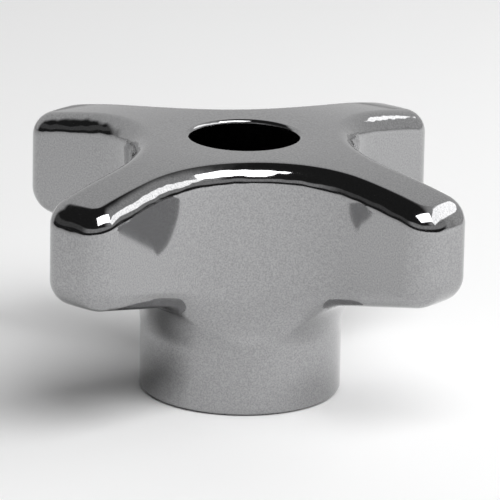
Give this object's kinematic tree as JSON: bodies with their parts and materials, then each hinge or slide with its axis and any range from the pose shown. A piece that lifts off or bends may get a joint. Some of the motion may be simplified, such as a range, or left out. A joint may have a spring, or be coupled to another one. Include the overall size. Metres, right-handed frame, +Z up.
{
  "type": "star knob",
  "caption": "Polished cast star knob with straight arms, round finger gaps between them, a crowned top and a round hub with a plain through bore.",
  "frame": {"origin": "centre of the hub's flat lower end, on the bore's axis", "axes": "+Z up the bore to the crowned top; two opposite arms lie along X and two along Y"},
  "size_m": [0.065, 0.065, 0.0323],
  "materials": {
    "polished_metal": "mirror polished"
  },
  "bodies": {
    "root": {"star_knob": "polished_metal"}
  },
  "joints": []
}
